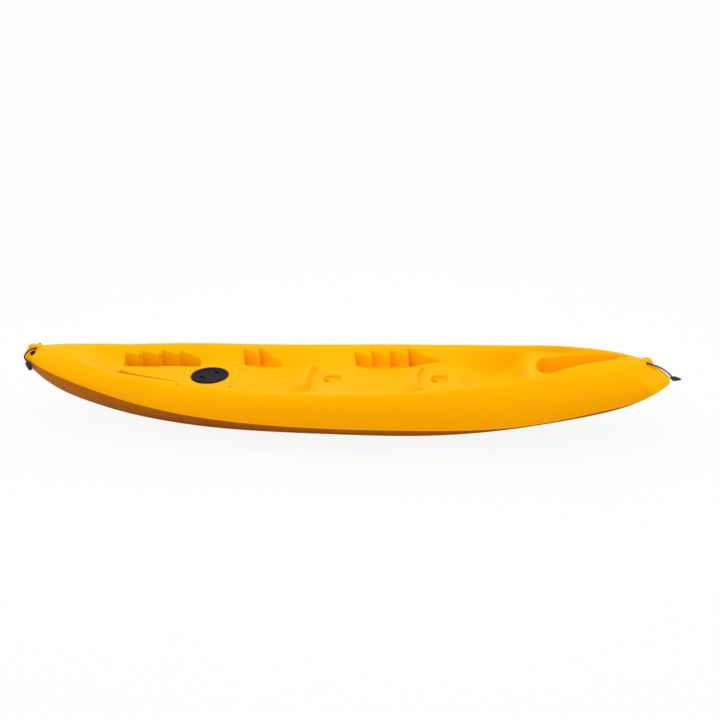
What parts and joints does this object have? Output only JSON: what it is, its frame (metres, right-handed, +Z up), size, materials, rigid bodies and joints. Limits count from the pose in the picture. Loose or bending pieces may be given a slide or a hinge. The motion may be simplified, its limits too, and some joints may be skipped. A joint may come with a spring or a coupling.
{
  "type": "sit-on-top family kayak",
  "caption": "Hollow one-piece moulded sit-on-top kayak with moulded seats and foot steps, a screw-in deck hatch, a drain plug, and a rope-and-toggle carry handle at each end.",
  "frame": {"origin": "on the centreline at mid length, on the flat keel face that the boat rests on", "axes": "+X from bow to stern, +Y to starboard, +Z up"},
  "size_m": [3.7623, 0.8122, 0.4529],
  "materials": {
    "hull_polyethylene": "rotomoulded yellow polyethylene, satin, fine orange-peel",
    "hatch_plastic": "black glass-filled nylon, fine texture",
    "seal_rubber": "black sealing rubber",
    "stainless_steel": "stainless fastener",
    "brass_insert": "turned brass insert",
    "handle_rope": "braided polyester rope",
    "grip_rubber": "moulded black rubber",
    "buoyancy_foam": "closed-cell white foam, inside the hull"
  },
  "bodies": {
    "hull": {"hull_shell": "hull_polyethylene", "hatch_gasket": "seal_rubber", "hatch_ring": "hatch_plastic", "hatch_screw_1": "stainless_steel", "hatch_screw_2": "stainless_steel", "hatch_screw_3": "stainless_steel", "hatch_screw_4": "stainless_steel", "hatch_screw_5": "stainless_steel", "hatch_screw_6": "stainless_steel", "hatch_screw_7": "stainless_steel", "hatch_screw_8": "stainless_steel", "drain_collar": "hatch_plastic", "strap_insert_1": "brass_insert", "strap_insert_2": "brass_insert", "foam_block_bow": "buoyancy_foam", "foam_block_stern": "buoyancy_foam"},
    "lid_seal": {"lid_o_ring": "seal_rubber"},
    "lid": {"hatch_lid": "hatch_plastic"},
    "plug_seal": {"drain_plug_o_ring": "seal_rubber"},
    "plug": {"drain_plug": "hatch_plastic"},
    "bow_handle": {"bow_rope": "handle_rope"},
    "bow_grip": {"bow_toggle": "grip_rubber"},
    "stern_handle": {"stern_rope": "handle_rope"},
    "stern_grip": {"stern_toggle": "grip_rubber"}
  },
  "joints": [
    {"name": "hatch_lift", "type": "slide", "parent": "hull", "child": "lid_seal", "axis": [0, 0, 1], "range_m": [0, 0.15]},
    {"name": "hatch_turn", "type": "hinge", "parent": "lid_seal", "child": "lid", "pos_m": [-0.749, 0, 0.259], "axis": [0, 0, 1], "range_deg": [0, 90]},
    {"name": "plug_rise", "type": "slide", "parent": "hull", "child": "plug_seal", "axis": [-0.2493, -0.4506, 0.8572], "range_m": [0, 0.0061]},
    {"name": "plug_turn", "type": "hinge", "parent": "plug_seal", "child": "plug", "pos_m": [-1.78513, -0.04542, 0.39357], "axis": [-0.2493, -0.4506, 0.8572], "range_deg": [0, 1080]},
    {"name": "bow_handle_swing", "type": "hinge", "parent": "hull", "child": "bow_handle", "pos_m": [-1.775, 0, 0.414], "axis": [0, 1, 0], "range_deg": [0, 140]},
    {"name": "bow_toggle_spin", "type": "hinge", "parent": "bow_handle", "child": "bow_grip", "pos_m": [-1.8115, -0.084, 0.351], "axis": [0.2705, 0.0401, -0.9619], "continuous": true},
    {"name": "stern_handle_swing", "type": "hinge", "parent": "hull", "child": "stern_handle", "pos_m": [1.72, 0, 0.424], "axis": [0, -1, 0], "range_deg": [0, 140]},
    {"name": "stern_toggle_spin", "type": "hinge", "parent": "stern_handle", "child": "stern_grip", "pos_m": [1.8625, 0, 0.3262], "axis": [0.996, 0, -0.0896], "continuous": true}
  ],
  "couplings": [
    {"joint": "plug_rise", "follows": "plug_turn", "m_per_rad": 0.00031831}
  ]
}
